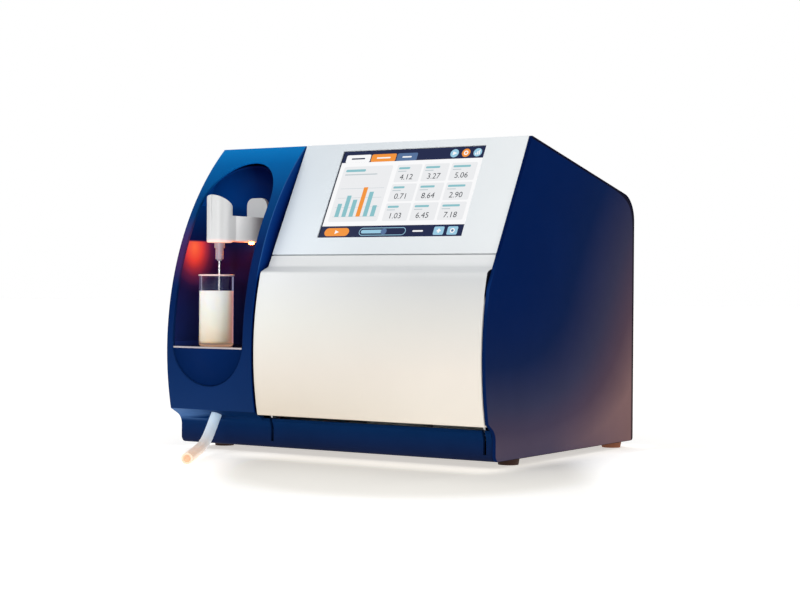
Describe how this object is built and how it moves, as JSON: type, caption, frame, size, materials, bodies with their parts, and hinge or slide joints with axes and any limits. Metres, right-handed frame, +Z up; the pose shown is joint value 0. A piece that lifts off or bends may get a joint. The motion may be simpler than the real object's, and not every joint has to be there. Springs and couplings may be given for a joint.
{
  "type": "milk analyzer",
  "caption": "Bench-top infrared milk analyzer with a curved intake column, lit sample niche, pipette, beaker, tilted touch screen, drop-down service door and drain hose.",
  "frame": {"origin": "on the table surface under the middle of the case, without the hose", "axes": "+X to the viewer's right, +Y to the back of the case, +Z up"},
  "size_m": [0.343, 0.3956, 0.2888],
  "materials": {
    "navy_paint": "semi-gloss navy powder coat",
    "column_plastic": "semi-gloss blue moulding",
    "bay_plastic": "semi-gloss very dark navy moulding",
    "tray_plastic": "satin dark navy moulding",
    "shelf_steel": "brushed stainless sheet",
    "steel": "machined stainless steel",
    "aluminium": "plain sheet and machined aluminium",
    "brass": "nickel-free turned brass",
    "dark_metal": "satin black",
    "dark_plastic": "matt black moulding",
    "white_plastic": "satin white moulding",
    "white_panel": "satin cool white paint",
    "cream_plastic": "satin warm white moulding",
    "screen_glass": "clear cover glass over a lit display",
    "light_lens": "lit orange-red lens",
    "clear_plastic": "clear moulded plastic",
    "clear_glass": "clear laboratory glass",
    "milk": "raw milk",
    "silicone": "translucent white silicone",
    "rubber": "black rubber",
    "bottle_plastic": "natural polyethylene",
    "blue_plastic": "blue moulding",
    "board_green": "green solder mask"
  },
  "bodies": {
    "housing": {"base_tray": "navy_paint", "rubber_feet": "rubber", "side_panel_left": "navy_paint", "side_panel_right": "navy_paint", "top_cover": "navy_paint", "rear_panel": "navy_paint", "case_screws": "steel", "intake_column": "column_plastic", "sample_bay": "bay_plastic", "drip_tray": "tray_plastic", "shelf_plate": "shelf_steel", "drain_hose": "silicone", "lift_frame": "aluminium", "guide_rods": "steel", "lift_motor": "dark_metal", "screen_panel": "white_panel", "touch_glass": "screen_glass", "lcd_module": "dark_metal", "hinge_brackets": "steel", "hinge_pins": "steel", "latch_body": "dark_plastic", "bulkhead": "aluminium", "service_deck": "aluminium", "reagent_bottles": "bottle_plastic", "bottle_caps": "blue_plastic", "pump_housing": "dark_plastic", "pump_tube": "silicone", "pump_motor": "dark_metal", "valve_block": "clear_plastic", "solenoid_valves": "dark_metal", "optics_bench": "aluminium", "interferometer": "aluminium", "infrared_source": "aluminium", "cuvette_block": "steel", "optics_detector": "dark_metal", "homogenizer": "steel", "power_supply": "aluminium", "main_board": "board_green", "board_standoffs": "brass", "fan_frame": "dark_plastic", "fan_guard": "steel", "power_inlet": "dark_plastic", "data_ports": "steel"},
    "door": {"door_panel": "cream_plastic", "door_liner": "white_plastic", "hinge_arms": "steel", "door_striker": "steel"},
    "latch": {"latch_plunger": "steel"},
    "pipette": {"pipette_head": "white_plastic", "luer_connector": "clear_plastic", "pipette_needle": "steel", "work_light": "light_lens", "lift_carriage": "dark_plastic"},
    "screw": {"lead_screw": "steel"},
    "fan": {"fan_rotor": "dark_plastic"},
    "pump": {"pump_rotor": "steel", "pump_rollers": "white_plastic"},
    "switch": {"power_rocker": "dark_plastic"},
    "sample": {"sample_beaker": "clear_glass", "milk_sample": "milk"}
  },
  "joints": [
    {"name": "door_hinge", "type": "hinge", "parent": "housing", "child": "door", "pos_m": [0, -0.114, 0.023], "axis": [1, 0, 0], "range_deg": [0, 70]},
    {"name": "latch_push", "type": "slide", "parent": "housing", "child": "latch", "axis": [0, 1, 0], "range_m": [0, 0.004], "stiffness_N_per_m": 300},
    {"name": "pipette_lift", "type": "slide", "parent": "housing", "child": "pipette", "axis": [0, 0, 1], "range_m": [0, 0.014]},
    {"name": "lead_screw_turn", "type": "hinge", "parent": "housing", "child": "screw", "pos_m": [-0.124, -0.051, 0.2], "axis": [0, 0, 1], "range_deg": [-631, 0]},
    {"name": "fan_spin", "type": "hinge", "parent": "housing", "child": "fan", "pos_m": [0.11, 0.138, 0.12], "axis": [0, 1, 0], "continuous": true},
    {"name": "pump_spin", "type": "hinge", "parent": "housing", "child": "pump", "pos_m": [-0.03, -0.05, 0.118], "axis": [0, 1, 0], "continuous": true},
    {"name": "switch_rock", "type": "hinge", "parent": "housing", "child": "switch", "pos_m": [-0.103, 0.1424, 0.062], "axis": [1, 0, 0], "range_deg": [0, 16]},
    {"name": "sample_lift", "type": "slide", "parent": "housing", "child": "sample", "axis": [0, 0, 1], "range_m": [0, 0.01]}
  ],
  "couplings": [
    {"joint": "lead_screw_turn", "follows": "pipette_lift", "rad_per_m": -785.4}
  ]
}
